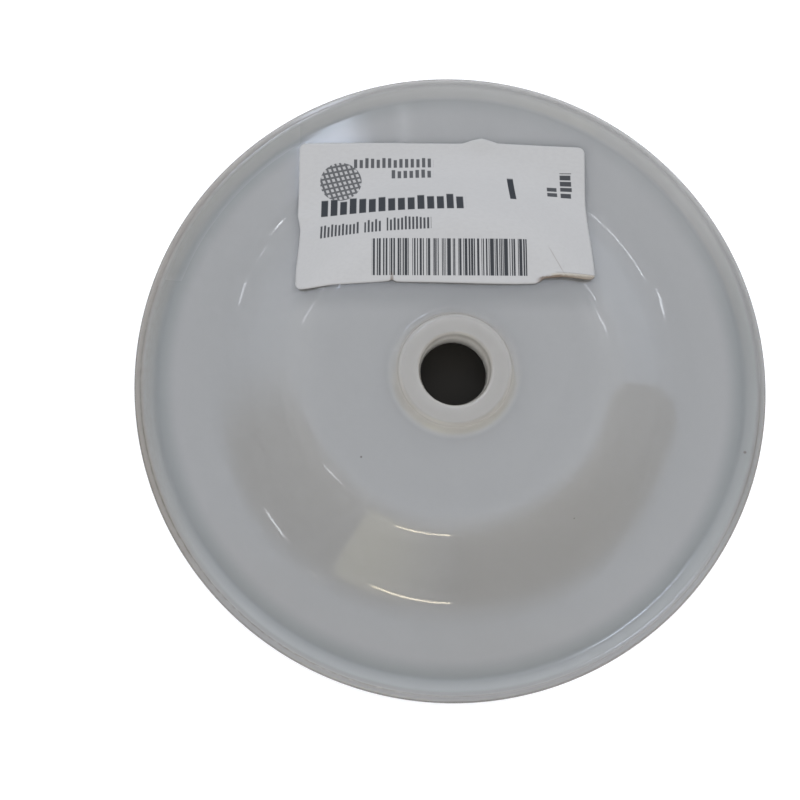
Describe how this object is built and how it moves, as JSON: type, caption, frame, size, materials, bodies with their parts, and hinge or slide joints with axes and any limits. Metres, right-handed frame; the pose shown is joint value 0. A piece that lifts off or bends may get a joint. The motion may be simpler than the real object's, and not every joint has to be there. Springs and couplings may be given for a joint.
{
  "type": "diaphragm seal",
  "caption": "Round moulded pump diaphragm with a bored centre hub, raised plateau, sloped step, flat annulus and beaded rim, with a plain paper label stuck on its front.",
  "frame": {"origin": "on the bore axis, in the plane that the back bead seats on", "axes": "+Z along the bore, out of the hub's front; +Y towards the label; +X to the right with the front facing the viewer and the label uppermost"},
  "size_m": [0.148, 0.148, 0.0158],
  "materials": {
    "polyurethane": "milky translucent, smooth gloss",
    "paper": "coated label paper, slightly creased, with plain black blocks"
  },
  "bodies": {
    "root": {"diaphragm": "polyurethane", "label": "paper"}
  },
  "joints": []
}
